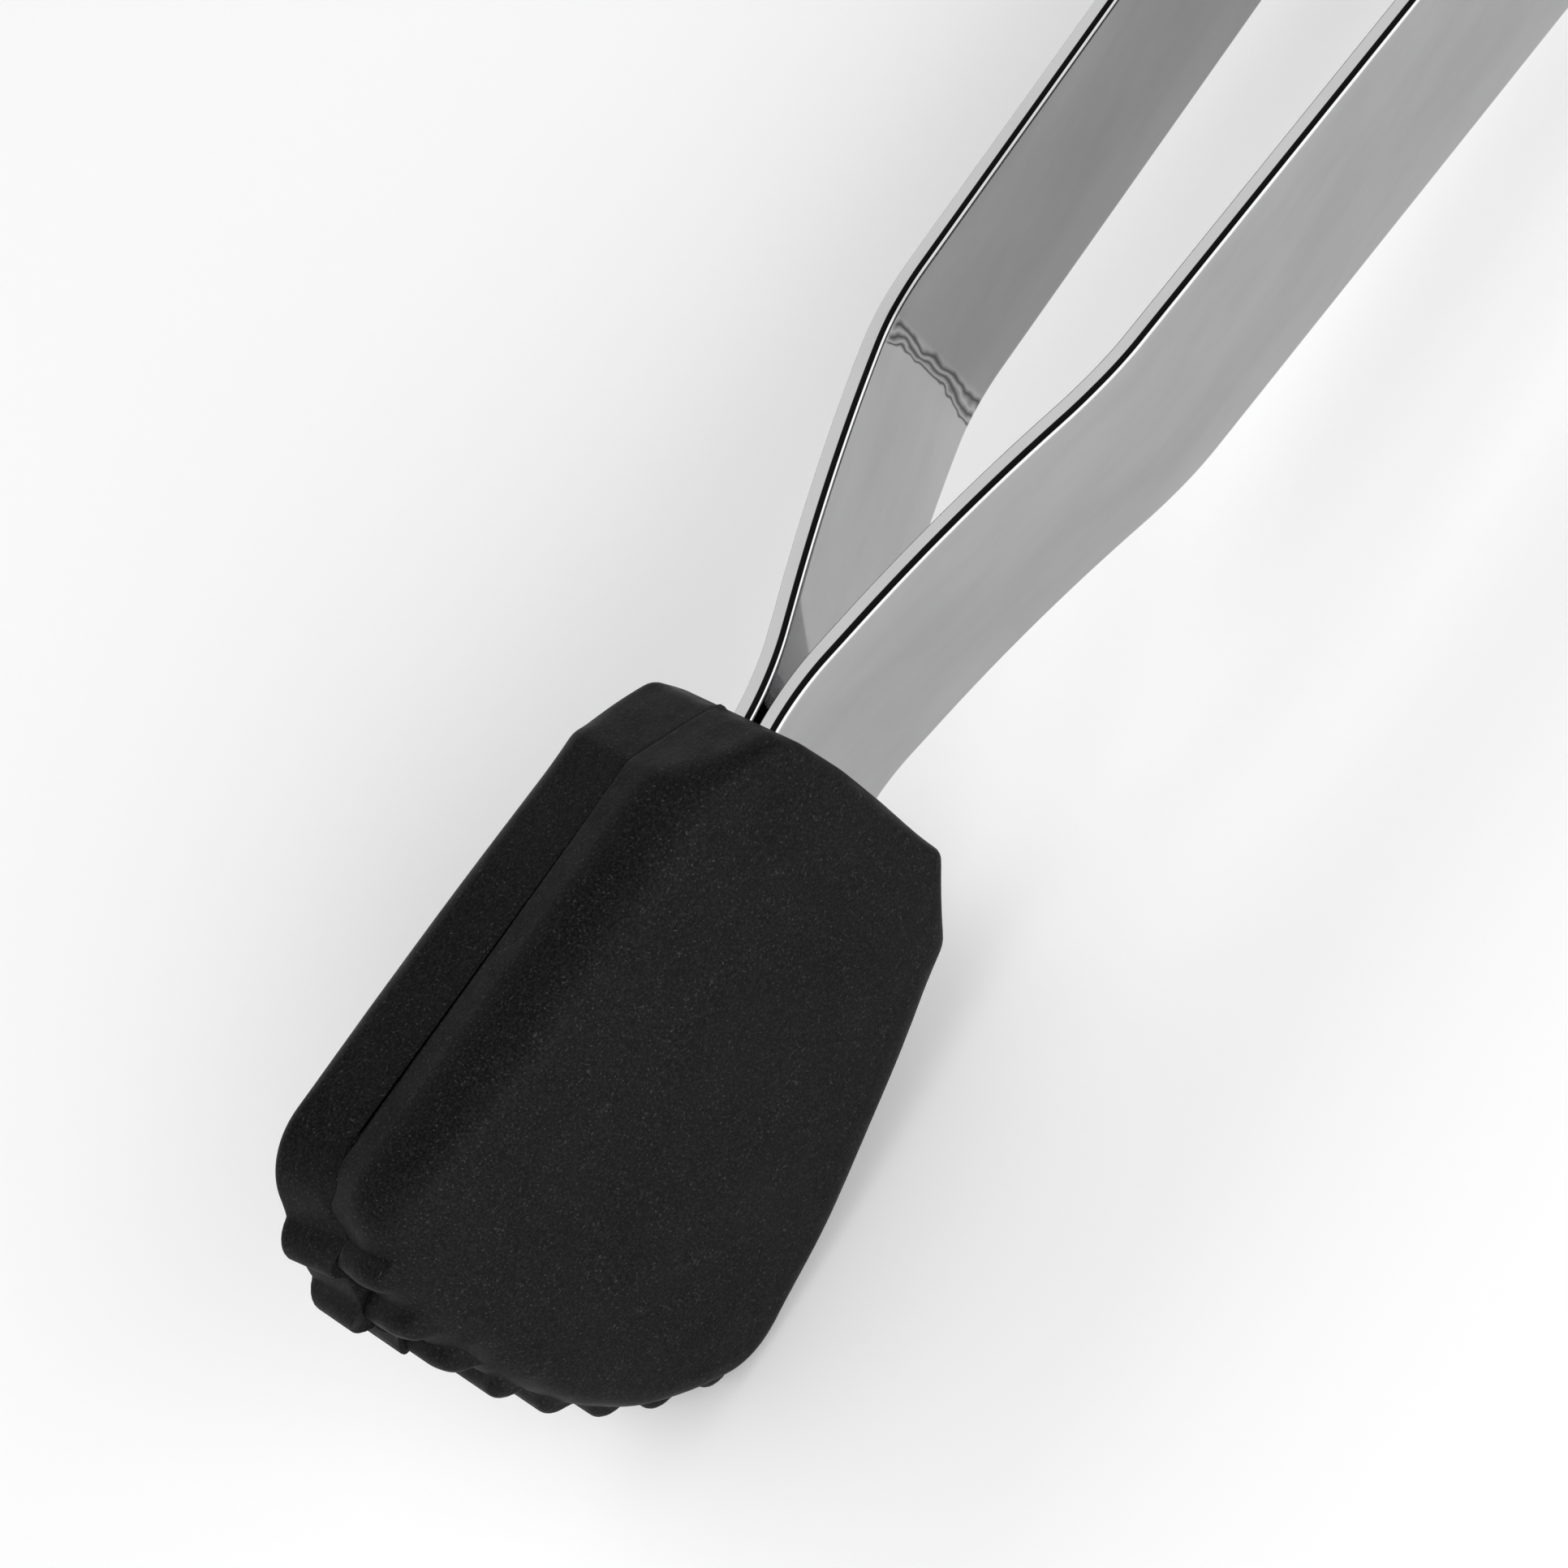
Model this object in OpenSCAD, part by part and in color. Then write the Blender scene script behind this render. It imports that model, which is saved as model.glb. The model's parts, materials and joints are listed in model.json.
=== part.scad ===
// Spring-loaded kitchen tongs, closed and lying on their side on a worktop.
// Two mirrored arms turn on one hinge pin, and a torsion spring drives them apart.
// The arm frame has its origin on the hinge pin, +X towards the jaws, +Y towards the
// front arm and +Z up across the straps. The jaw frame starts at the top of the jaws.
// Both are then laid down so that the jaws and the pull tab rest on the plane z = 0.

/* [Arms] */
// Distance from the hinge pin to the top of the jaws
reach = 212; // [200:1:240]
// Width of each strap
arm_w = 16; // [15:0.5:18]
// Thickness of each strap
arm_t = 2.5; // [2.3:0.1:2.6]
// Half the gap between the straps at the elbow
elbow_gap = 12.7; // [12:0.1:13]
// Distance from the top of the jaws back to the elbow
elbow_back = 39.4; // [38:0.2:44]
// Angle at which each strap still spreads behind the elbow
spread = 2.7; // [1:0.1:3.5]
// Half the gap between the straps where they enter the jaws
neck_gap = 0.5; // [0.4:0.05:0.8]
// Angle of the jaws below the line of the arms
cant = 11; // [8:0.5:12]

/* [Jaws] */
// Length of the rubber jaw without its teeth
jaw_len = 60.3; // [59:0.1:62]
// Thickness of one jaw at its middle
jaw_thick = 10.8; // [10.4:0.1:12]
// Width of the jaw's flat top edge
jaw_top_w = 25.4; // [24:0.2:27]
// Width below the cut shoulders
jaw_shoulder_w = 37.6; // [36:0.2:38]
// Length of the cut shoulders along the jaw
jaw_shoulder_len = 7.5; // [6:0.5:9]
// Angle at which each side flares
jaw_flare = 9.2; // [8:0.2:10]
// Radius of the round tip
tip_r = 36.6; // [35:0.1:38]
// Offset of the round tip towards the upper side
tip_off = 2.2; // [1:0.1:2.8]
// Radius of the corners between the sides and the tip
corner_r = 6.5; // [5:0.5:8]
// Gap between the two closed jaws
jaw_gap = 0.3; // [0.2:0.05:0.5]
// Number of gripping teeth around the tip
teeth = 8; // [6:2:8]
// Radius of one tooth
tooth_r = 1.8; // [1.4:0.1:2]
// Height of the teeth above the gripping face
tooth_h = 6.8; // [5:0.2:7]

/* [Hinge] */
// Radius of the hinge pin
pin_r = 2; // [1.8:0.1:2.2]
// Radius of the ears around the pin
ear_r = 5; // [4.6:0.1:5.4]
// Thickness of the bracket sheet
sheet = 1.5; // [1.4:0.1:1.5]
// Diameter of the spring wire
wire_d = 1.2; // [1:0.1:1.2]
// Number of spring turns
turns = 6; // [5:1:6]

/* [Lock] */
// Travel of the pull tab
lock_travel = 7; // [6:0.5:7]
// Length of the pull tab behind the lock frame
tab_len = 24; // [22:1:28]
// Radius of the hanging hole
hang_r = 4; // [3:0.25:4.5]

/* [Hidden] */
$fn = 48;
eps = 0.01;
bend_steps = 10;

// Resting pose on the worktop: tilt about Y, and the pin's place above the plane
lie = 6;
pin_x = -117.23;
pin_z = 11.25;

// Side bend that cants the jaws
drop_back = 24;
drop_r = 150;
jaw_drop = -drop_back * tan(cant);
neck_w = 15.6;

// Corners of the strap's middle line, seen from above
foot = [6, 9.5];
elbow = [reach - elbow_back, elbow_gap + arm_t / 2];
shoulder = [46, elbow.y + tan(spread) * (elbow.x - 46)];
neck = [reach - 3.7, neck_gap + arm_t / 2];
mouth = [reach + 1.5, neck.y];
tang_y = 5.6;
tang = [reach + 12, tang_y];
tang_end = [reach + 44, tang_y];
foot_angle = atan2(shoulder.y - foot.y, shoulder.x - foot.x);

// Ears: the front pair lies outside the rear pair, and the lock frame outside both
front_ear_z = 5.9;
rear_ear_z = 4.2;
lock_z = 7.6;
lock_sheet = 1;
washer_t = 0.6;
head_t = 1.1;
running = 0.05;

// Lock bar: it rests ahead of the hooks and is pulled back into them
bar_r = 1.2;
bar_x = 27;
hook_x = bar_x - lock_travel;
hook_gap = 1.4;
hook_t = 1.5;
lock_half_h = 4.5;
lock_back = -15;
tab_t = 5;
tongue_t = 1.2;
tongue_len = 8;

// Spring and bush
bush_r = 3;
coil_r = 3.9;

// Jaw insides
core_near = 2;
core_far = tang_y - arm_t / 2;
core_start = 15;
core_end = 53;
rivet_r = 1.5;
jaw_rivets = [20, 36];
bracket_rivets = [8, 18];

// --- Helpers ------------------------------------------------------------------------

function left(h) = [-sin(h), cos(h)];
function heading(a, b) = atan2(b.y - a.y, b.x - a.x);

// Points [x, y, heading] of an arc of radius r that rounds the corner p
function bend(before, p, after, r) =
  let(h1 = heading(before, p), turn = heading(p, after) - h1, s = sign(turn))
  let(start = p - r * tan(abs(turn) / 2) * [cos(h1), sin(h1)], c = start + s * r * left(h1))
  [for (k = [0:bend_steps])
    let(h = h1 + turn * k / bend_steps, q = c - s * r * left(h)) [q.x, q.y, h]];

// A line through the corners p, rounded with the radii r
function route(p, r) =
  let(n = len(p) - 1)
  concat(
    [[p[0].x, p[0].y, heading(p[0], p[1])]],
    [for (i = [1:n - 1]) each bend(p[i - 1], p[i], p[i + 1], r[i - 1])],
    [[p[n].x, p[n].y, heading(p[n - 1], p[n])]]);

// The outline of a band along a line, with the half widths given by w
function band(line, w) = concat(
  [for (i = [0:len(line) - 1]) [line[i].x, line[i].y] + w[i] * left(line[i].z)],
  [for (i = [len(line) - 1:-1:0]) [line[i].x, line[i].y] - w[i] * left(line[i].z)]);

// From the arm frame to the worktop
module laid() {
  translate([pin_x, 0, pin_z]) rotate([0, -lie, 0]) children();
}

// From the jaw frame to the arm frame
module at_jaw() {
  translate([reach, 0, jaw_drop]) rotate([0, cant, 0]) children();
}

// From the strap's straight foot to the arm frame
module at_foot() {
  translate([foot.x, foot.y, 0]) rotate([0, 0, foot_angle]) children();
}

// Extrudes an outline drawn in X and Z from y0 to y1
module across(y0, y1) {
  translate([0, y1, 0]) rotate([90, 0, 0]) linear_extrude(y1 - y0) children();
}

// A cylinder along Y from y0 to y1
module along_y(y0, y1, r) {
  translate([0, y1, 0]) rotate([90, 0, 0]) cylinder(h = y1 - y0, r = r);
}

// --- Arms ---------------------------------------------------------------------------

arm_line = route([foot, shoulder, elbow, neck, mouth, tang, tang_end], [60, 34, 26, 4, 4]);
side_line = route(
  [[0, 0], [reach - drop_back, 0], [reach + 60 * cos(cant), -(60 + drop_back / cos(cant)) * sin(cant)]],
  [drop_r]);
side_w = [for (i = [0:len(side_line) - 1])
  arm_w / 2 - (arm_w - neck_w) / 2 * min(1, max(0, (i - 1) / bend_steps))];

module strap(grow = 0) {
  intersection() {
    translate([0, 0, -40]) linear_extrude(60)
      polygon(band(arm_line, [for (q = arm_line) arm_t / 2 + grow]));
    across(-1, 40) polygon(band(side_line, [for (w = side_w) w + grow]));
  }
}

module arm() {
  difference() {
    strap();
    at_foot() for (x = bracket_rivets) translate([x, 0, 0]) along_y(-5, 5, rivet_r);
    at_jaw() for (x = jaw_rivets) translate([x, 0, 0]) along_y(0, 12, rivet_r);
  }
}

module front_arm() {
  color([0.74, 0.75, 0.76]) laid() arm();
}

module rear_arm() {
  color([0.74, 0.75, 0.76]) laid() mirror([0, 1, 0]) arm();
}

// --- Jaws ---------------------------------------------------------------------------

// Each corner arc touches the flared side and, from inside, the round tip.
// The side s is 1 for the upper half and -1 for the lower one, drawn mirrored.
tip_c = jaw_len - tip_r;
side_at_0 = jaw_shoulder_w / 2 - jaw_shoulder_len * tan(jaw_flare) - corner_r / cos(jaw_flare);

function corner(s) =
  let(w = side_at_0 - s * tip_off, t = tan(jaw_flare))
  let(qa = 1 + t * t, qb = w * t - tip_c, qc = tip_c * tip_c + w * w - pow(tip_r - corner_r, 2))
  let(x = (-qb + sqrt(qb * qb - qa * qc)) / qa)
  [x, side_at_0 + x * t];

function half_outline(s) =
  let(c = corner(s), tip = [tip_c, s * tip_off], meet = atan2(c.y - tip.y, c.x - tip.x))
  let(first = 90 + jaw_flare, last = -asin(s * tip_off / tip_r))
  concat(
    [[0, jaw_top_w / 2], [jaw_shoulder_len, jaw_shoulder_w / 2]],
    [for (k = [0:6]) let(a = first + (meet - first) * k / 6) c + corner_r * [cos(a), sin(a)]],
    [for (k = [1:12]) let(a = meet + (last - meet) * k / 12) tip + tip_r * [cos(a), sin(a)]]);

module jaw_outline() {
  upper = half_outline(1);
  lower = half_outline(-1);
  polygon(concat(upper, [for (k = [len(lower) - 2:-1:0]) [lower[k].x, -lower[k].y]]));
}

// The outer face is crowned across the jaw and, more gently, along it
module jaw_body() {
  crown_r = 180;
  length_r = 340;
  intersection() {
    across(jaw_gap / 2, jaw_thick) jaw_outline();
    translate([-10, jaw_thick - crown_r, 0]) rotate([0, 90, 0]) cylinder(h = jaw_len + 20, r = crown_r, $fn = 128);
    translate([28, jaw_thick - length_r, -40]) cylinder(h = 80, r = length_r, $fn = 256);
  }
}

module jaw_teeth() {
  tooth_step = 9.9;
  tooth_turn = -2.5;
  for (k = [-teeth / 2:teeth / 2 - 1]) {
    a = tooth_step * k + tooth_turn;
    translate([tip_c + (tip_r - 0.2) * cos(a), 0, tip_off + (tip_r - 0.2) * sin(a)])
      along_y(jaw_gap / 2, tooth_h, tooth_r);
  }
}

module core_plate(grow = 0) {
  across(core_near - grow, core_far + grow) difference() {
    translate([core_start - grow, -16 - grow]) square([core_end - core_start + 2 * grow, 32 + 2 * grow]);
    for (s = [-1, 1])
      translate([core_end + grow, s * (16 + grow)]) rotate(45) square(12, center = true);
  }
}

module rivet(grow = 0) {
  along_y(core_near, core_far + arm_t, rivet_r);
  along_y(core_near - 0.7 - grow, core_near, 3 + grow);
  along_y(core_far + arm_t, core_far + arm_t + 0.7 + grow, 3 + grow);
}

module jaw_cover() {
  clear = 0.05;
  difference() {
    at_jaw() union() {
      jaw_body();
      jaw_teeth();
    }
    strap(clear);
    at_jaw() core_plate(clear);
    at_jaw() for (x = jaw_rivets) translate([x, 0, 0]) rivet(clear);
    translate([reach - 5, -1, jaw_drop - neck_w / 2 - 0.4]) cube([8, 2, neck_w]);
  }
}

module jaw_core() {
  at_jaw() difference() {
    core_plate();
    for (x = jaw_rivets) translate([x, 0, 0]) along_y(0, 12, rivet_r);
  }
}

module jaw_rivet_pair() {
  at_jaw() for (x = jaw_rivets) translate([x, 0, 0]) rivet();
}

module front_jaw_cover() {
  color([0.06, 0.06, 0.065]) laid() jaw_cover();
}

module rear_jaw_cover() {
  color([0.06, 0.06, 0.065]) laid() mirror([0, 1, 0]) jaw_cover();
}

module front_jaw_core() {
  color([0.3, 0.3, 0.32]) laid() jaw_core();
}

module rear_jaw_core() {
  color([0.3, 0.3, 0.32]) laid() mirror([0, 1, 0]) jaw_core();
}

module front_jaw_rivets() {
  color([0.8, 0.8, 0.8]) laid() jaw_rivet_pair();
}

module rear_jaw_rivets() {
  color([0.8, 0.8, 0.8]) laid() mirror([0, 1, 0]) jaw_rivet_pair();
}

// --- Hinge --------------------------------------------------------------------------

web_near = 2;
web_far = 24;
function from_foot(x, y) = foot + x * [cos(foot_angle), sin(foot_angle)] + y * left(foot_angle);

// One ear: a round eye, a hook that crosses the middle plane and a cheek under the strap
module ear_outline() {
  hook_low = -hook_gap - hook_t;
  difference() {
    polygon(concat(
      [for (a = [100:4:260]) ear_r * [cos(a), sin(a)]],
      [
        [10, hook_low],
        [hook_x + 1.5, hook_low],
        [hook_x + 1.5, -hook_gap],
        [hook_x - hook_gap, -hook_gap],
        [hook_x - hook_gap, 1.6],
        [hook_x + 3, 1.6],
        [28.5, 9],
        from_foot(web_far, -arm_t / 2),
        from_foot(web_near, -arm_t / 2)]));
    circle(r = pin_r + running);
  }
}

// Room between the ears: the far side of the web, and around the pin's eye
module ear_space() {
  translate(foot) rotate(foot_angle) translate([-40, -40 - arm_t / 2 - sheet]) square([80, 40]);
  circle(r = ear_r + 1);
}

// A folded channel: two ears joined by the web that lies on the strap
module bracket(ear_z) {
  difference() {
    linear_extrude(2 * (ear_z + sheet), center = true) ear_outline();
    linear_extrude(2 * ear_z, center = true) ear_space();
    at_foot() for (x = bracket_rivets) translate([x, 0, 0]) along_y(-5, 5, rivet_r);
  }
}

module bracket_rivet_pair() {
  inner = -arm_t / 2 - sheet;
  at_foot() for (x = bracket_rivets) translate([x, 0, 0]) {
    along_y(inner, arm_t / 2, rivet_r);
    along_y(inner - 0.7, inner, 2.3);
    along_y(arm_t / 2, arm_t / 2 + 0.9, 2.8);
  }
}

module front_hinge_bracket() {
  color([0.62, 0.63, 0.65]) laid() bracket(front_ear_z);
}

module rear_hinge_bracket() {
  color([0.62, 0.63, 0.65]) laid() mirror([0, 1, 0]) bracket(rear_ear_z);
}

module front_bracket_rivets() {
  color([0.8, 0.8, 0.8]) laid() bracket_rivet_pair();
}

module rear_bracket_rivets() {
  color([0.8, 0.8, 0.8]) laid() mirror([0, 1, 0]) bracket_rivet_pair();
}

washer_z = lock_z + lock_sheet + 0.1;
head_z = washer_z + washer_t;

module hinge_pin() {
  color([0.7, 0.7, 0.72]) laid() {
    translate([0, 0, -head_z]) cylinder(h = 2 * head_z, r = pin_r);
    for (s = [-1, 1]) translate([0, 0, s * (head_z + head_t / 2)])
      cylinder(h = head_t, r = 3.3, center = true);
  }
}

module pin_washer() {
  difference() {
    cylinder(h = washer_t, r = 4.2);
    translate([0, 0, -1]) cylinder(h = washer_t + 2, r = pin_r);
  }
}

module upper_pin_washer() {
  color([0.55, 0.55, 0.58]) laid() translate([0, 0, washer_z]) pin_washer();
}

module lower_pin_washer() {
  color([0.55, 0.55, 0.58]) laid() translate([0, 0, -head_z]) pin_washer();
}

module spring_bush() {
  color([0.85, 0.84, 0.8]) laid() difference() {
    cylinder(h = 2 * rear_ear_z - 0.2, r = bush_r, center = true);
    cylinder(h = 20, r = pin_r + running, center = true);
  }
}

// Close-wound turns, drawn as rings that just meet, and one leg under each arm
module torsion_spring() {
  half_h = turns * wire_d / 2;
  leg_angle = 15.3;
  color([0.5, 0.5, 0.52]) laid() {
    for (k = [0:turns - 1]) translate([0, 0, -half_h + wire_d * (k + 0.5)])
      rotate_extrude($fn = 48) translate([coil_r, 0]) circle(d = wire_d + 0.04, $fn = 16);
    for (s = [-1, 1]) translate([0, 0, s * (half_h - wire_d / 2)])
      mirror([0, s > 0 ? 0 : 1, 0]) rotate([0, 0, leg_angle]) translate([0, coil_r, 0])
        rotate([0, 90, 0]) cylinder(h = 25.5, d = wire_d, $fn = 16);
  }
}

// --- Lock ---------------------------------------------------------------------------

module cheek_outline() {
  difference() {
    union() {
      translate([lock_back, -lock_half_h]) square([bar_x - lock_back, 2 * lock_half_h]);
      translate([bar_x, 0]) circle(r = lock_half_h);
    }
    pin_slot();
    translate([bar_x, 0]) circle(r = bar_r);
  }
}

// Slot that lets the frame slide along the hinge pin
module pin_slot() {
  r = pin_r + 0.15;
  translate([0, -r]) square([lock_travel, 2 * r]);
  circle(r = r);
  translate([lock_travel, 0]) circle(r = r);
}

module lock_frame() {
  outer = lock_z + lock_sheet;
  color([0.62, 0.63, 0.65]) laid() {
    for (z = [lock_z, -outer]) translate([0, 0, z]) linear_extrude(lock_sheet) cheek_outline();
    difference() {
      union() {
        translate([lock_back, -lock_half_h, -outer]) cube([lock_sheet, 2 * lock_half_h, 2 * outer]);
        translate([lock_back - tongue_len, -tongue_t / 2, -5]) cube([tongue_len + eps, tongue_t, 10]);
      }
      translate([lock_back - tongue_len / 2, 0, 0]) along_y(-5, 5, rivet_r);
    }
  }
}

module lock_bar() {
  outer = lock_z + lock_sheet;
  color([0.7, 0.7, 0.72]) laid() translate([bar_x, 0, -outer]) cylinder(h = 2 * outer, r = bar_r);
}

module pull_tab() {
  tab_half = 8;
  hole_x = lock_back - tab_len + tab_half;
  color([0.06, 0.06, 0.065]) laid() difference() {
    across(-tab_t / 2, tab_t / 2) union() {
      translate([hole_x, -tab_half]) square([lock_back - hole_x, 2 * tab_half]);
      translate([hole_x, 0]) circle(r = tab_half);
    }
    translate([hole_x, 0, 0]) along_y(-5, 5, hang_r);
    translate([lock_back - tongue_len - 0.05, -tongue_t / 2 - 0.05, -5.05])
      cube([tongue_len + 1, tongue_t + 0.1, 10.1]);
    translate([lock_back - tongue_len / 2, 0, 0]) along_y(-5, 5, rivet_r);
  }
}

module tab_rivet() {
  color([0.8, 0.8, 0.8]) laid() translate([lock_back - tongue_len / 2, 0, 0]) {
    along_y(-tab_t / 2, tab_t / 2, rivet_r);
    for (y = [-tab_t / 2 - 0.6, tab_t / 2]) along_y(y, y + 0.6, 2.6);
  }
}

front_arm();
rear_arm();
front_jaw_cover();
rear_jaw_cover();
front_jaw_core();
rear_jaw_core();
front_jaw_rivets();
rear_jaw_rivets();
front_hinge_bracket();
rear_hinge_bracket();
front_bracket_rivets();
rear_bracket_rivets();
hinge_pin();
upper_pin_washer();
lower_pin_washer();
spring_bush();
torsion_spring();
lock_frame();
lock_bar();
pull_tab();
tab_rivet();
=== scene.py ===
"""Looks for a pair of spring-loaded kitchen tongs that lie closed on their side.

Lengths are in millimetres in three frames, and go to the row frame in metres as each piece is made.
The arm frame has its origin on the hinge pin, +X to the jaws, +Y to the front arm, +Z across the straps.
The jaw frame starts at the top of the jaws, with +X along the jaw and +Z across it.
"""

import json
import math

import bpy
from mathutils import Matrix, Vector, noise


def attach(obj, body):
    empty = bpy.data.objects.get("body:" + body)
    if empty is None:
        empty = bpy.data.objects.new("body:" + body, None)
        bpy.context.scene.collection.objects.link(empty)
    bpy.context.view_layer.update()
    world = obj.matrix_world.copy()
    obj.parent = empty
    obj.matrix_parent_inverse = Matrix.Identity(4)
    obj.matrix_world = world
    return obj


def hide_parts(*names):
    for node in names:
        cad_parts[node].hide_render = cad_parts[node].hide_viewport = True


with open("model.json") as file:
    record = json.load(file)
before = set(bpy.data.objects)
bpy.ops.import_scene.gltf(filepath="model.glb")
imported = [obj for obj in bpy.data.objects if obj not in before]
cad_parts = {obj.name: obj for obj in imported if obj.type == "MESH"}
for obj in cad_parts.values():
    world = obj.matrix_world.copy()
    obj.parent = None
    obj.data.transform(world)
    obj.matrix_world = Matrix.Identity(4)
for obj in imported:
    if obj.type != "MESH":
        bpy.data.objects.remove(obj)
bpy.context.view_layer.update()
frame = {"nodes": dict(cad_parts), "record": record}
MM = 0.001
TAU = 2 * math.pi

# Driving sizes, most of them as in the part's own source
REACH = 212
ARM_W = 16
NECK_W = 15.6
ARM_T = 2.5
CANT = math.radians(11)
DROP_BACK = 24
DROP_R = 150
FOOT = (6, 9.5)
SHOULDER = (46, 19.92)
ELBOW = (172.6, 13.95)
NECK = (208.3, 1.75)
MOUTH = (213.5, 1.75)
TANG = (224, 5.6)
TANG_END = (256, 5.6)
JAW_LEN = 60.3
JAW_THICK = 10.8
JAW_TOP_W = 25.4
JAW_SHOULDER_W = 37.6
JAW_SHOULDER_LEN = 7.5
JAW_FLARE = math.radians(9.2)
TIP_R = 36.6
TIP_OFF = 2.2
CORNER_R = 6.5
TEETH = 8
TOOTH_R = 1.8
TOOTH_H = 6.8
TOOTH_STEP = 9.9
TOOTH_TURN = -2.5
PIN_R = 2
WIRE_D = 1.2
COIL_R = 3.9
HEAD_Z = 9.3
WASHER_R = 4.2
WASHER_T = 0.6
BUSH_R = 3
BUSH_Z = 4.1
RIVET_R = 1.5
WEB_RIVETS_X = (8, 18)
LOCK_BACK = -15
TAB_LEN = 24
TAB_T = 5
HANG_R = 4
BAR_X = 27

# Frames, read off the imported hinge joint
hinge = frame["record"]["behaviour"]["joints"][0]
PIN_AT = Vector(hinge["pos_m"])
Z_ARM = Vector(hinge["axis"]).normalized()
Y_ARM = Vector((0, 1, 0))
X_ARM = Y_ARM.cross(Z_ARM)
ARM = Matrix.Translation(PIN_AT) @ Matrix((X_ARM, Y_ARM, Z_ARM)).transposed().to_4x4() @ Matrix.Scale(MM, 4)
JAW_DROP = -DROP_BACK * math.tan(CANT)
JAW = ARM @ Matrix.Translation((REACH, 0, JAW_DROP)) @ Matrix.Rotation(CANT, 4, "Y")
FOOT_ANGLE = math.atan2(SHOULDER[1] - FOOT[1], SHOULDER[0] - FOOT[0])
STRAP_FOOT = ARM @ Matrix.Translation((*FOOT, 0)) @ Matrix.Rotation(FOOT_ANGLE, 4, "Z")
MIRROR = Matrix.Scale(-1, 4, (0, 1, 0))


# --- Camera, lights and floor --------------------------------------------------------


def add_camera():
    """The camera's place and axes in the arm frame, and its lens."""
    right = Vector((-0.5895, 0.64401, -0.48758))
    up = Vector((-0.78333, -0.3084, 0.53971))
    back = right.cross(up)
    local = Matrix((right, up, back)).transposed().to_4x4()
    turn = ARM.to_3x3().normalized().to_4x4()
    data = bpy.data.cameras.new("camera")
    data.lens = 100.07
    data.sensor_width = 36
    data.clip_start = 0.01
    cam = bpy.data.objects.new("camera", data)
    cam.matrix_world = Matrix.Translation(ARM @ Vector((290.38, 270.58, 260.41))) @ turn @ local
    bpy.context.scene.collection.objects.link(cam)
    bpy.context.scene.camera = cam


def add_area(name, place, target, size, power, glossy=True):
    """A soft rectangular light."""
    data = bpy.data.lights.new(name, "AREA")
    data.shape = "RECTANGLE"
    data.size, data.size_y = size
    data.energy = power
    light = bpy.data.objects.new(name, data)
    light.location = place
    light.rotation_euler = (Vector(place) - Vector(target)).to_track_quat("Z", "Y").to_euler()
    light.visible_camera = False
    light.visible_glossy = glossy
    bpy.context.scene.collection.objects.link(light)


def add_world():
    """A white studio with a dark strip overhead, which draws the dark line along each polished edge."""
    world = bpy.data.worlds.new("studio")
    bpy.context.scene.world = world
    world.use_nodes = True
    nodes, links = world.node_tree.nodes, world.node_tree.links
    background = nodes["Background"]
    coords = nodes.new("ShaderNodeTexCoord")
    split = nodes.new("ShaderNodeSeparateXYZ")
    angle = nodes.new("ShaderNodeMath")
    angle.operation = "ARCTAN2"
    turn = nodes.new("ShaderNodeMapRange")
    turn.inputs["From Min"].default_value = -math.pi
    turn.inputs["From Max"].default_value = math.pi
    ramp = nodes.new("ShaderNodeValToRGB")
    links.new(coords.outputs["Generated"], split.inputs[0])
    links.new(split.outputs["Y"], angle.inputs[0])
    links.new(split.outputs["Z"], angle.inputs[1])
    links.new(angle.outputs[0], turn.inputs["Value"])
    links.new(turn.outputs[0], ramp.inputs[0])
    links.new(ramp.outputs[0], background.inputs["Color"])
    # Degrees from straight up towards +Y, and the grey there
    stops = [(-180, 0.4), (-95, 0.42), (-80, 0.55), (-38, 0.55), (-32, 0.008),
             (50, 0.006), (56, 1.0), (120, 0.9), (140, 0.4)]
    for k, (degrees, grey) in enumerate(stops):
        spot = (degrees + 180) / 360
        stop = ramp.color_ramp.elements[k] if k < 2 else ramp.color_ramp.elements.new(spot)
        stop.position = spot
        stop.color = (grey, grey, grey, 1)
    background.inputs["Strength"].default_value = 2.4


def add_floor():
    """A pale sheet that runs well past the view."""
    half = 6.0
    mesh = bpy.data.meshes.new("floor")
    corners = [(-half, -half, 0), (half, -half, 0), (half, half, 0), (-half, half, 0)]
    mesh.from_pydata(corners, [], [(0, 1, 2, 3)])
    floor = bpy.data.objects.new("floor", mesh)
    bpy.context.scene.collection.objects.link(floor)
    made = bpy.data.materials.new("floor_paper")
    made.use_nodes = True
    shader = made.node_tree.nodes["Principled BSDF"]
    shader.inputs["Base Color"].default_value = (0.9, 0.9, 0.9, 1)
    shader.inputs["Roughness"].default_value = 0.9
    mesh.materials.append(made)


# --- Materials -----------------------------------------------------------------------


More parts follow.
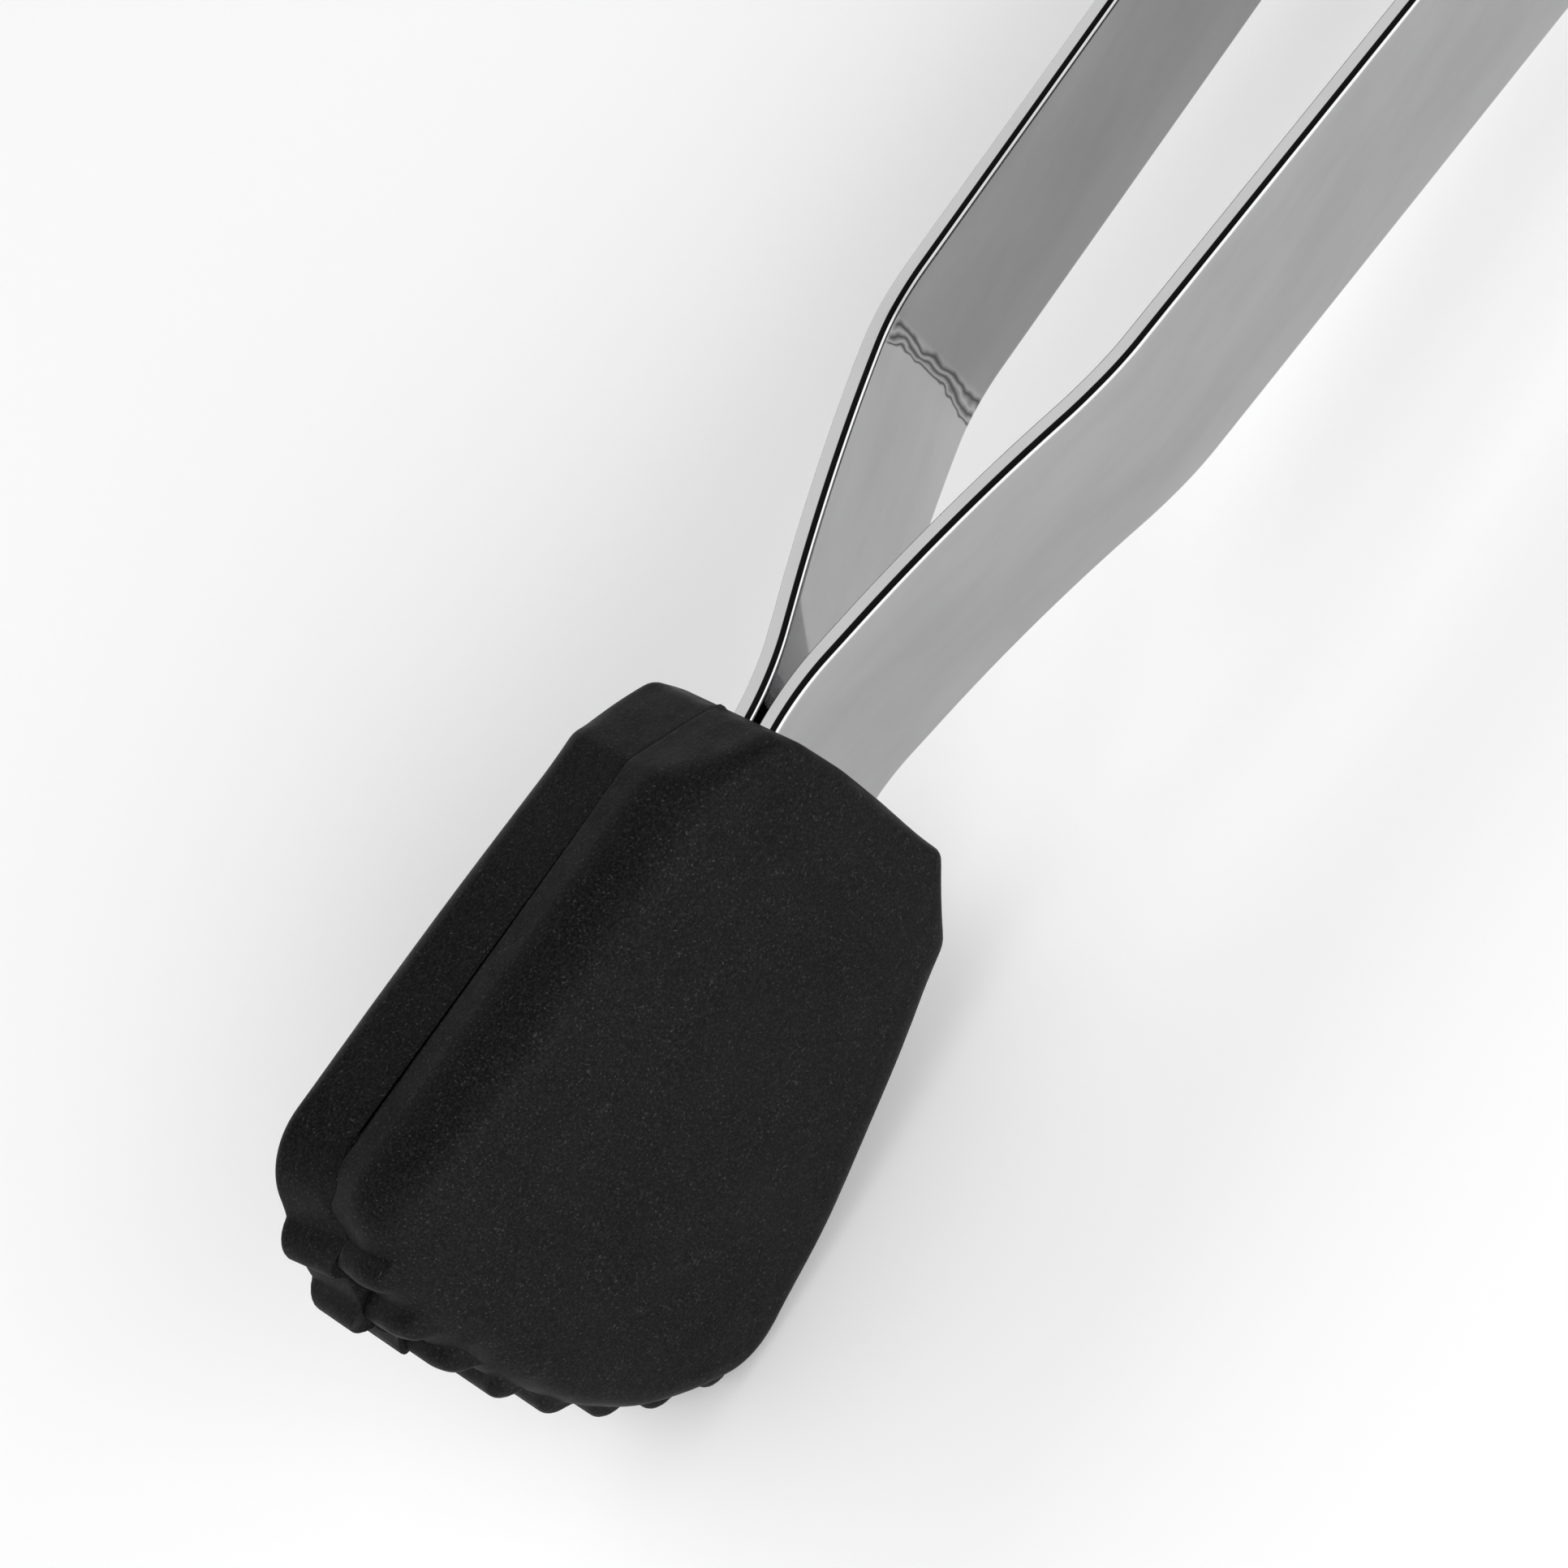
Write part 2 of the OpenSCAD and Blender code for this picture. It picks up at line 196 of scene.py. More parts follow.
class Maker:
    """A node material: each call adds a node and returns its output."""

    def __init__(self, name, rough, metallic=0.0, specular=0.5):
        self.made = bpy.data.materials.new(name)
        self.made.use_nodes = True
        self.nodes, self.links = self.made.node_tree.nodes, self.made.node_tree.links
        self.shader = self.nodes["Principled BSDF"]
        self.shader.inputs["Roughness"].default_value = rough
        self.shader.inputs["Metallic"].default_value = metallic
        self.shader.inputs["Specular IOR Level"].default_value = specular
        self.place = self.nodes.new("ShaderNodeTexCoord").outputs["Object"]

    def stretched(self, scale, turn=(0, 0, 0)):
        node = self.nodes.new("ShaderNodeMapping")
        node.inputs["Scale"].default_value = scale
        node.inputs["Rotation"].default_value = turn
        self.links.new(self.place, node.inputs["Vector"])
        return node.outputs["Vector"]

    def noise(self, scale, detail=4, rough=0.5, place=None):
        node = self.nodes.new("ShaderNodeTexNoise")
        node.inputs["Scale"].default_value = scale
        node.inputs["Detail"].default_value = detail
        node.inputs["Roughness"].default_value = rough
        self.links.new(place or self.place, node.inputs["Vector"])
        return node.outputs["Fac"]

    def ramp(self, source, low, high, start=0.0, end=1.0):
        """Maps source from start..end to low..high, which are numbers or colours."""
        if isinstance(low, tuple):
            node = self.nodes.new("ShaderNodeValToRGB")
            for stop, spot, colour in zip(node.color_ramp.elements, (start, end), (low, high)):
                stop.position = spot
                stop.color = (*colour, 1)
            self.links.new(source, node.inputs["Fac"])
            return node.outputs["Color"]
        node = self.nodes.new("ShaderNodeMapRange")
        for key, value in zip(("From Min", "From Max", "To Min", "To Max"), (start, end, low, high)):
            node.inputs[key].default_value = value
        self.links.new(source, node.inputs["Value"])
        return node.outputs["Result"]

    def maths(self, operation, a, b):
        node = self.nodes.new("ShaderNodeMath")
        node.operation = operation
        for socket, value in zip(node.inputs, (a, b)):
            if isinstance(value, (int, float)):
                socket.default_value = value
            else:
                self.links.new(value, socket)
        return node.outputs[0]

    def times(self, a, b):
        return self.maths("MULTIPLY", a, b)

    def sum(self, a, b):
        return self.maths("ADD", a, b)

    def distance(self, origin, way):
        """How far the surface is from an origin, measured along a direction."""
        node = self.nodes.new("ShaderNodeVectorMath")
        node.operation = "DOT_PRODUCT"
        self.links.new(self.place, node.inputs[0])
        node.inputs[1].default_value = way
        return self.sum(node.outputs["Value"], -origin.dot(way))

    def mixed(self, base, share, grey):
        """A colour with a share of grey mixed in."""
        node = self.nodes.new("ShaderNodeMix")
        node.data_type = "RGBA"
        self.links.new(share, node.inputs["Factor"])
        self.links.new(base, node.inputs["A"])
        node.inputs["B"].default_value = (grey, grey, grey, 1)
        return node.outputs["Result"]

    def bump(self, source, depth, strength=1.0):
        node = self.nodes.new("ShaderNodeBump")
        node.inputs["Distance"].default_value = depth
        node.inputs["Strength"].default_value = strength
        self.links.new(source, node.inputs["Height"])
        self.links.new(node.outputs["Normal"], self.shader.inputs["Normal"])

    def plug(self, source, socket):
        self.links.new(source, self.shader.inputs[socket])


def polished_steel():
    """Bright strap steel with wiping marks. The rear strap's inner face has painted shade, for the shaded
    floor between the arms that it reflects, and a bend mark.
    """
    m = Maker("polished_steel", 0.06, metallic=1)
    wipes = m.noise(60, 3, 0.6, m.stretched((1, 1, 5)))
    base = m.ramp(wipes, (0.395, 0.395, 0.4), (0.44, 0.44, 0.444), 0.3, 0.75)

    # The rear strap's inner face lies a little above its middle, and the front strap well beyond it
    slope = math.atan2(SHOULDER[1] - ELBOW[1], ELBOW[0] - SHOULDER[0])
    inward = -X_ARM * math.sin(slope) + Y_ARM * math.cos(slope)
    middle = PIN_AT + MM * (X_ARM * ELBOW[0] - Y_ARM * ELBOW[1])
    above = m.distance(middle, inward)
    inner = m.times(m.ramp(above, 0, 1, 0.85 * MM, 1.2 * MM), m.ramp(above, 1, 0, 3 * MM, 4 * MM))
    along = m.distance(middle, (X_ARM - 0.13 * Z_ARM).normalized())
    # Painted shade: the rear strap's inner face darkens towards the elbow, up to a third of the way to near
    # black, and stops at the elbow. It stands in for the shaded floor between the arms that it reflects.
    painted_shade = m.times(m.ramp(along, 0, 0.34, -122 * MM, -60 * MM), m.ramp(along, 1, 0, -0.6 * MM, 0.8 * MM))
    base = m.mixed(base, m.times(inner, painted_shade), 0.02)

    # The bend mark: dark lines at the elbow that waver, and stop short of the strap's upper edge
    shaken = m.sum(along, m.ramp(m.noise(120, 3, 0.6), -1.8 * MM, 1.8 * MM, 0.2, 0.8))
    marked = m.times(inner, m.ramp(m.distance(middle, Z_ARM), 0.9, 0, 6.9 * MM, 7.5 * MM))
    for spot, width in ((0.4, 0.55), (1.4, 0.5), (2.1, 0.25)):
        rising = m.ramp(shaken, 0, 1, (spot - width) * MM, spot * MM)
        falling = m.ramp(shaken, 1, 0, spot * MM, (spot + width) * MM)
        base = m.mixed(base, m.times(m.times(rising, falling), marked), 0.03)

    m.plug(base, "Base Color")
    m.plug(m.ramp(m.noise(140, 4, 0.6), 0.035, 0.10, 0.3, 0.8), "Roughness")
    m.bump(m.noise(35, 2), 0.00002)
    return m.made


def jaw_rubber():
    """Near-black silicone with a fine moulded grain and pale dust specks."""
    m = Maker("jaw_rubber", 0.5, specular=0.07)
    base = m.ramp(m.noise(90, 3), (0.0024, 0.0024, 0.0026), (0.004, 0.004, 0.0043), 0.3, 0.7)
    grain = m.ramp(m.noise(3800, 2, 0.7), 0.0, 0.5, 0.42, 0.7)
    specks = m.ramp(m.noise(4200, 1, 0.4), 0.0, 0.7, 0.64, 0.76)
    m.plug(m.mixed(m.mixed(base, grain, 0.017), specks, 0.035), "Base Color")
    m.plug(m.ramp(m.noise(420, 3), 0.46, 0.6, 0.3, 0.7), "Roughness")
    m.bump(m.noise(3200, 3, 0.6), 0.00004, 0.9)
    return m.made


def brushed_steel(name, grey, rough, turn=(0, 0, 0)):
    """Stamped stainless sheet with fine lines along its length."""
    m = Maker(name, rough, metallic=1)
    lines = m.noise(3600, 3, 0.6, m.stretched((0.03, 1, 1), turn))
    m.plug(m.ramp(lines, (grey * 0.92,) * 3, (grey * 1.06,) * 3, 0.3, 0.7), "Base Color")
    m.plug(m.ramp(m.noise(110, 2), rough - 0.03, rough + 0.05, 0.3, 0.75), "Roughness")
    m.bump(lines, 0.00001, 0.4)
    return m.made


def moulded(name, low, high, rough):
    """Moulded nylon with a soft spark-eroded grain."""
    m = Maker(name, rough, specular=0.45)
    m.plug(m.ramp(m.noise(120, 3), low, high, 0.3, 0.7), "Base Color")
    m.plug(m.ramp(m.noise(300, 3), rough - 0.06, rough + 0.08, 0.3, 0.7), "Roughness")
    m.bump(m.noise(2200, 3, 0.6), 0.00003, 0.7)
    return m.made


STEEL = polished_steel()
RUBBER = jaw_rubber()
SHEET = brushed_steel("bracket_steel", 0.6, 0.36)
RIVET = brushed_steel("rivet_steel", 0.64, 0.27, (0, 0, 1.2))
SPRING = brushed_steel("spring_steel", 0.36, 0.28, (0.7, 0.4, 0))
NYLON = moulded("bush_nylon", (0.62, 0.6, 0.53), (0.72, 0.7, 0.63), 0.42)
CORE = moulded("core_nylon", (0.06, 0.06, 0.065), (0.09, 0.09, 0.095), 0.5)
TAB = moulded("tab_plastic", (0.008, 0.008, 0.0085), (0.015, 0.015, 0.016), 0.48)


# --- Pieces --------------------------------------------------------------------------


def add_piece(name, shape, matrix, material, body, nodes, crease=40):
    """A closed mesh of one material that rides on a body and stands for CAD nodes."""
    points, faces = shape
    mesh = bpy.data.meshes.new(name)
    mesh.from_pydata([matrix @ Vector(p) for p in points], [], faces)
    if matrix.determinant() < 0:
        mesh.flip_normals()
    mesh.shade_smooth()
    mesh.set_sharp_from_angle(angle=math.radians(crease))
    mesh.materials.append(material)
    piece = bpy.data.objects.new(name, mesh)
    bpy.context.scene.collection.objects.link(piece)
    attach(piece, body)
    if nodes:
        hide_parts(*nodes)
    return piece


def joined(*shapes):
    """Several closed shapes as one."""
    points, faces = [], []
    for shape_points, shape_faces in shapes:
        start = len(points)
        points += shape_points
        faces += [tuple(i + start for i in face) for face in shape_faces]
    return points, faces


def moved(shape, matrix):
    points, faces = shape
    if matrix.determinant() < 0:
        faces = [tuple(reversed(face)) for face in faces]
    return [tuple(matrix @ Vector(p)) for p in points], faces


def skin(rings, close_start=True, close_end=True):
    """A surface through rings of equal length, with a fan at each end where it closes."""
    n = len(rings[0])
    points = [p for ring in rings for p in ring]
    faces = []
    for r in range(len(rings) - 1):
        for k in range(n):
            a, b = r * n + k, r * n + (k + 1) % n
            faces.append((a, b, b + n, a + n))
    for wanted, row in ((close_start, 0), (close_end, len(rings) - 1)):
        if not wanted:
            continue
        ring = rings[row]
        points.append(tuple(sum(p[i] for p in ring) / n for i in range(3)))
        hub = len(points) - 1
        for k in range(n):
            a, b = row * n + k, row * n + (k + 1) % n
            faces.append((hub, b, a) if row == 0 else (hub, a, b))
    return points, faces


def lathe(profile, sides=64):
    """A body of revolution about Z. The profile is (radius, height) from bottom to top, or a closed loop."""
    loop = profile[0] == profile[-1]
    rows = profile[:-1] if loop else profile
    rings = [[(r * math.cos(TAU * k / sides), r * math.sin(TAU * k / sides), z) for k in range(sides)]
             for r, z in rows]
    if not loop:
        return skin(rings)
    points, faces = skin(rings, False, False)
    last = (len(rows) - 1) * sides
    for k in range(sides):
        faces.append((last + k, last + (k + 1) % sides, (k + 1) % sides, k))
    return points, faces


def dome(r, z0, height, edge=0.3, steps=9):
    """Profile points of a low domed head on the plane z0, from its rim to its crown."""
    rim = [(r, z0), (r, z0 + edge)]
    return rim + [(r * math.cos(a), z0 + edge + (height - edge) * math.sin(a))
                  for a in [math.radians(90 * k / steps) for k in range(1, steps)]] + [(0.02, z0 + height)]


def two_headed(shank_r, low, high, low_head, high_head):
    """A rivet from z = low to high, with a domed (radius, height) head beyond each end."""
    bottom = [(r, 2 * low - z) for r, z in reversed(dome(low_head[0], low, low_head[1]))]
    shank = [(shank_r, low), (shank_r, high)]
    return lathe(bottom + shank + dome(high_head[0], high, high_head[1]))


def tube(inner, outer, low, high, soft):
    """A bush or washer about Z with softened edges."""
    def corner(r, z, sr, sz):
        return [(r + sr * soft * (1 - math.cos(a)), z + sz * soft * (1 - math.sin(a)))
                for a in [math.radians(30 * k) for k in range(4)]]
    profile = corner(outer, low, -1, 1)[::-1] + corner(outer, high, -1, -1)
    profile += corner(inner, high, 1, -1)[::-1] + corner(inner, low, 1, 1)
    return lathe(profile + profile[:1])


ALONG_Y = Matrix.Rotation(math.radians(-90), 4, "X")
SIDES = (("front", Matrix.Identity(4), 1), ("rear", MIRROR, -1))


# --- Straps --------------------------------------------------------------------------


def heading(a, b):
    return math.atan2(b[1] - a[1], b[0] - a[0])


def route(corners, radii, arc_steps=20, gap=2.0):
    """(x, y, heading) along a line through corners, each rounded to its radius."""
    out = []

    def straight(a, b, h):
        n = max(1, int(math.dist(a, b) / gap))
        out.extend((a[0] + (b[0] - a[0]) * k / n, a[1] + (b[1] - a[1]) * k / n, h) for k in range(n))

    here = corners[0]
    for before, p, after, r in zip(corners, corners[1:], corners[2:], radii):
        h = heading(before, p)
        turn = heading(p, after) - h
        side = math.copysign(1, turn)
        back = r * math.tan(abs(turn) / 2)
        start = (p[0] - back * math.cos(h), p[1] - back * math.sin(h))
        centre = (start[0] - side * r * math.sin(h), start[1] + side * r * math.cos(h))
        straight(here, start, h)
        for k in range(arc_steps):
            a = h + turn * k / arc_steps
            out.append((centre[0] + side * r * math.sin(a), centre[1] - side * r * math.cos(a), a))
        a = h + turn
        here = (centre[0] + side * r * math.sin(a), centre[1] - side * r * math.cos(a))
    last = heading(corners[-2], corners[-1])
    straight(here, corners[-1], last)
    out.append((*corners[-1], last))
    return out


def strap_side(x):
    """Height of the strap's middle and its slope and half width at x, where it cants down to the jaws."""
    neck_drop = 0.35
    bend_x = REACH - DROP_BACK
    back = DROP_R * math.tan(CANT / 2)
    start, end = bend_x - back, bend_x + back * math.cos(CANT)
    if x <= start:
        middle, slope = 0.0, 0.0
    elif x < end:
        slope = math.asin((x - start) / DROP_R)
        middle = -DROP_R * (1 - math.cos(slope))
    else:
        slope = CANT
        middle = -(x - bend_x) * math.tan(CANT)
    share = min(1, max(0, (x - start) / (end - start)))
    return middle - neck_drop * share, slope, (ARM_W - (ARM_W - NECK_W) * share) / 2


def strap():
    """A flat bar with softly rounded long edges, swept along the arm's line."""
    fillet = 0.72
    corner_steps = 7
    end_round = 3.0
    end_soft = 0.6
    rings = []
    line = route([FOOT, SHOULDER, ELBOW, NECK, MOUTH, TANG, TANG_END], [60, 34, 26, 4, 4])
    first = line[0]
    # How far each ring is from the rounded end, and its place and heading
    stations = [(s, (first[0] + s * math.cos(first[2]), first[1] + s * math.sin(first[2]), first[2]))
                for s in (0, 0.05, 0.15, 0.35, 0.6, 0.9, 1.3, 1.9)]
    stations += [(end_round, q) for q in line if q[0] > first[0] + 2.5]
    for s, (x, y, h) in stations:
        left = (-math.sin(h), math.cos(h))
        thin = ARM_T / 2 - end_soft * (1 - math.sqrt(max(0, 1 - (1 - min(1, s / end_soft)) ** 2)))
        cut = end_round * (1 - math.sqrt(max(0, 1 - (1 - min(1, s / end_round)) ** 2)))
        ring = []
        for quarter in range(4):
            sy, sz = ((1, 1), (-1, 1), (-1, -1), (1, -1))[quarter]
            r = min(fillet, thin * 0.9)
            for k in range(corner_steps + 1):
                a = math.radians(90 * (quarter + k / corner_steps))
                across = sy * (thin - r) + r * math.cos(a)
                px = x + left[0] * across
                middle, slope, half = strap_side(px)
                half = half / math.cos(slope) - cut
                ring.append((px, y + left[1] * across, middle + sz * (half - r) + r * math.sin(a)))
        rings.append(ring)
    points, faces = skin(rings)
    return points, [tuple(reversed(face)) for face in faces]


def add_straps():
    shape = strap()
    for side, flip, _ in SIDES:
        add_piece(f"{side}_strap", shape, ARM @ flip, STEEL, f"{side}_arm_body",
                  [f"{side}_arm"], crease=55)


# --- Jaws ----------------------------------------------------------------------------


def half_outline(s):
    """Rough points (u, w) of one half of the jaw, drawn with w above 0: s is 1 for +w and -1 for -w."""
    tip_c, tip_w = JAW_LEN - TIP_R, s * TIP_OFF

    # The corner's arc touches the flared side and, from inside, the tip's arc
    slope = math.tan(JAW_FLARE)
    side_at_0 = JAW_SHOULDER_W / 2 - JAW_SHOULDER_LEN * slope - CORNER_R / math.cos(JAW_FLARE)
    rise = side_at_0 - tip_w
    qa = 1 + slope ** 2
    qb = rise * slope - tip_c
    qc = tip_c ** 2 + rise ** 2 - (TIP_R - CORNER_R) ** 2
    cu = (-qb + math.sqrt(qb ** 2 - qa * qc)) / qa
    cw = side_at_0 + cu * slope
    meet = math.atan2(cw - tip_w, cu - tip_c)
    last = -math.asin(tip_w / TIP_R)
    side_end = (cu - CORNER_R * math.sin(JAW_FLARE), cw + CORNER_R * math.cos(JAW_FLARE))
    shoulder = (JAW_SHOULDER_LEN, JAW_SHOULDER_W / 2)
    top = route([(0, 0), (0, JAW_TOP_W / 2), shoulder, side_end], [1.6, 2.2], 8, 0.5)
    rough = [(x, y) for x, y, _ in top]
    first = math.pi / 2 + JAW_FLARE
    for k in range(1, 25):
        a = first + (meet - first) * k / 24
        rough.append((cu + CORNER_R * math.cos(a), cw + CORNER_R * math.sin(a)))
    for k in range(1, 61):
        a = meet + (last - meet) * k / 60
        rough.append((tip_c + TIP_R * math.cos(a), tip_w + TIP_R * math.sin(a)))
    return rough


def evenly(rough, step=0.42):
    """Points a steady step apart along a line."""
    lengths = [0.0]
    for a, b in zip(rough, rough[1:]):
        lengths.append(lengths[-1] + math.dist(a, b))
    count = int(lengths[-1] / step)
    out, i = [], 0
    for k in range(count + 1):
        at = lengths[-1] * k / count
        while i < len(rough) - 2 and lengths[i + 1] < at:
            i += 1
        f = (at - lengths[i]) / (lengths[i + 1] - lengths[i])
        out.append(tuple(rough[i][j] + f * (rough[i + 1][j] - rough[i][j]) for j in (0, 1)))
    return out


def jaw_outline():
    """Points (u, w) around the jaw, from the middle of its top edge through +w and back."""
    upper = evenly(half_outline(1))
    lower = evenly(half_outline(-1))
    return upper + [(u, -w) for u, w in reversed(lower[1:-1])]


def smooth(f):
    """An even step from 0 to 1."""
    f = min(1, max(0, f))
    return f * f * (3 - 2 * f)


def tooth_angle(k):
    return math.radians(TOOTH_STEP * k + TOOTH_TURN)


def tooth_rise(u, w, nu, nw):
    """How far the round teeth stand proud of the outline at (u, w), along its normal."""
    seat = TIP_R - 0.2
    best = -1.0
    for k in range(-TEETH // 2, TEETH // 2):
        a = tooth_angle(k)
        du = JAW_LEN - TIP_R + seat * math.cos(a) - u
        dw = TIP_OFF + seat * math.sin(a) - w
        along = du * nu + dw * nw
        inside = along ** 2 - (du ** 2 + dw ** 2 - TOOTH_R ** 2)
        if inside > 0:
            best = max(best, along + math.sqrt(inside))
    soft = 0.3
    return 0.5 * (best + math.sqrt(best ** 2 + soft ** 2)) - 0.5 * (math.sqrt(1 + soft ** 2) - 1)


def crown(u, w):
    """Height of the outer face: a gentle crown, with shallow sinks left by the moulding."""
    h = JAW_THICK - w ** 2 / 360 - (u - 28) ** 2 / 680
    # Each sink's middle (u, w), depth and size
    sinks = ((6.5, 9.5, 0.55, 2.6), (43, 3, 0.22, 5), (50, 10, 0.2, 3.5), (47, -8, 0.15, 4))
    for cu, cw, depth, size in sinks:
        h -= depth * math.exp(-((u - cu) ** 2 + (w - cw) ** 2) / (2 * size ** 2))
    return h + 0.12 * noise.noise(Vector((u / 9, w / 9, 3.1)))


def wave(u, w):
    """Height of the gripping faces' interlocking ripple, which fades away from the tip."""
    du, dw = u - (JAW_LEN - TIP_R), w - TIP_OFF
    radius = math.hypot(du, dw)
    angle = math.degrees(math.atan2(dw, du))
    height = 0.6 * smooth((44 - abs(angle)) / 9) * smooth((radius - 20) / 10)
    return height * math.sin(TAU * (angle - TOOTH_TURN) / TOOTH_STEP)


def jaw(sign):
    """One closed silicone jaw: gripping face, toothed wall, soft shoulder and crowned outer face.

    sign is 1 for the front jaw and -1 for the rear one. Heights y are outward from the parting plane.
    """
    front = sign > 0
    line_gap = 0.02
    lip = 0.05
    wall_h = 3.0 if front else 6.0
    wall_steps = 18
    shoulder_steps = 26
    fill_steps = 26
    cap = 1.3
    plain = jaw_outline()

    def pull(u, w):
        """How far an outline point is drawn along the jaw: the top edge back, parts of the tip forward."""
        if front:
            far = 0.5 * smooth((-8 - w) / 8)
        else:
            far = 1.7 * smooth((w - 6) / 6) * smooth((22 - w) / 8)
        far -= 0.45 * smooth((w + 8) / 6) * smooth((10 - w) / 5)
        back = (0.6 + 0.3 * smooth((w + 2) / 6)) * smooth((14 - w) / 6) - 0.9 * smooth(-w / 12)
        return far * smooth((u - 40) / 10) - back * smooth((8 - u) / 8)

    # Each point of the outline has a normal, a partner on the jaw's spine and the height of a tooth
    outline = [(u + pull(u, w), w) for u, w in plain]
    n = len(outline)
    normals, spine, rise = [], [], []
    for k, (u, w) in enumerate(outline):
        a, b = outline[k - 1], outline[(k + 1) % n]
        length = math.dist(a, b)
        nu, nw = -(b[1] - a[1]) / length, (b[0] - a[0]) / length
        normals.append((nu, nw))
        spine.append((9 + 20.6 * min(1, max(0, u / 46)), 0.0))
        rise.append(tooth_rise(*plain[k], nu, nw) if u > 36 else 0.0)

    def inset(k, d):
        """The outline's point k, moved in by d towards its partner on the spine."""
        u, w = outline[k]
        su, sw = spine[k]
        far = math.dist((u, w), (su, sw))
        f = min(1, d / far)
        return u + (su - u) * f, w + (sw - w) * f

    def shoulder_size(u, w):
        """How far in the outer face's shoulder reaches: little at the top edge, most along the upper side."""
        upper = smooth((w + 12) / 24)
        most = 3.0 if front else 2.2
        return 1.4 + (1.8 + most * upper) * smooth((u - 0.5) / 12) - upper * smooth((u - 46) / 12)

    def wall_top(u, w):
        """Where the side wall ends and the shoulder starts, which is lowest along the upper side."""
        reach = 0.75 + 0.4 * smooth(w / 12) if front else 0.75
        return max(wall_h, crown(u, w) - 0.8 - reach * shoulder_size(u, w))

    def flash(u, w, y):
        """A nib of moulding flash where the parting line leaves the top edge."""
        return 0.5 * math.exp(-((w - 11.6) / 0.5) ** 2 - (y / 0.7) ** 2) if u < 1.5 else 0.0

    def tooth_share(y):
        """The teeth keep their full depth to a rounded top."""
        if y < TOOTH_H - cap:
            return 1.0
        return math.sqrt(max(0, 1 - ((y - TOOTH_H + cap) / cap) ** 2))

    def grip(u, w):
        return line_gap + sign * wave(u, w)

    def draft(u, w, y):
        """How far the side walls stand out. They lean in to the parting line, more towards the tip.

        The lower ones swell halfway along, where the jaw is clear of the floor.
        """
        along = min(1, max(0, u / 50))
        side = min(1, max(0, (abs(w) - 14) / 6))
        low = 1 - min(1, max(0, y / wall_h))
        lean = 0.5 + 0.35 * along
        swell = 1.1 * smooth(u / 8) * smooth((47 - u) / 14)
        if w > 0:
            swell = 0.35 - lean if front else 0.7 * along
        return (swell * (1 - low) - lean * low) * side

    # The gripping face, from the spine out to the rim
    rings = []
    for d in (1, 0.95, 0.9, 0.84, 0.78, 0.72, 0.66, 0.6, 0.54,
              0.48, 0.42, 0.36, 0.3, 0.24, 0.18, 0.12, 0.07, 0.03):
        ring = []
        for k, (u, w) in enumerate(outline):
            pu, pw = inset(k, d * math.dist((u, w), spine[k]))
            ring.append((pu, grip(pu, pw), pw))
        rings.append(ring)

    # The rim's small round edge
    for a in (0, 30, 60, 90):
        s, c = math.sin(math.radians(a)), math.cos(math.radians(a))
        ring = []
        for k, (u, w) in enumerate(outline):
            out = rise[k] + draft(u, w, 0) + flash(u, w, 0) - lip * (1 - s)
            ring.append((u + normals[k][0] * out, grip(u, w) + lip * (1 - c), w + normals[k][1] * out))
        rings.append(ring)

    # The wall with its teeth, whose first ring stays clear of the ripple
    for q in range(-1, wall_steps + 1):
        ring = []
        for k, (u, w) in enumerate(outline):
            y = 0.6 if q < 0 else 1.2 + (wall_top(u, w) - 1.2) * q / wall_steps
            out = rise[k] * tooth_share(y) + draft(u, w, y) + flash(u, w, y)
            height = max(y, grip(u, w) + lip + 0.1) if q < 0 else y
            ring.append((u + normals[k][0] * out, height, w + normals[k][1] * out))
        rings.append(ring)

    # The shoulder
    for q in range(1, shoulder_steps + 1):
        a = math.radians(90 * q / shoulder_steps)
        ring = []
        for k, (u, w) in enumerate(outline):
            power = 2.0 + 0.8 * smooth((-4 - w) / 10)
            side, rising = math.cos(a) ** (2 / power), math.sin(a) ** (2 / power)
            pu, pw = inset(k, shoulder_size(u, w) * (1 - side))
            low = wall_top(u, w)
            y = low + (crown(pu, pw) - low) * rising
            out = draft(u, w, wall_h) * side + rise[k] * tooth_share(y)
            ring.append((pu + normals[k][0] * out, y, pw + normals[k][1] * out))
        rings.append(ring)

    # The outer face, in to the spine
    for q in range(1, fill_steps + 1):
        ring = []
        for k, (u, w) in enumerate(outline):
            size = shoulder_size(u, w)
            far = math.dist((u, w), spine[k])
            pu, pw = inset(k, size + (far - size) * q / fill_steps)
            ring.append((pu, crown(pu, pw), pw))
        rings.append(ring)

    points, faces = skin(rings, False, False)
    return merged(points, faces)


def merged(points, faces, near=1e-4):
    """The same surface with coinciding points joined and flattened faces dropped."""
    key, order, index = {}, [], []
    for p in points:
        spot = tuple(round(c / near) for c in p)
        if spot not in key:
            key[spot] = len(order)
            order.append(p)
        index.append(key[spot])
    out = []
    for face in faces:
        kept = []
        for i in face:
            if index[i] not in kept:
                kept.append(index[i])
        if len(kept) > 2:
            out.append(tuple(kept))
    return order, out


def add_jaws():
    for side, flip, sign in SIDES:
        add_piece(f"{side}_jaw", jaw(sign), JAW @ flip, RUBBER, f"{side}_arm_body",
                  [f"{side}_jaw_cover"], crease=60)


# --- Hinge, spring and lock ----------------------------------------------------------


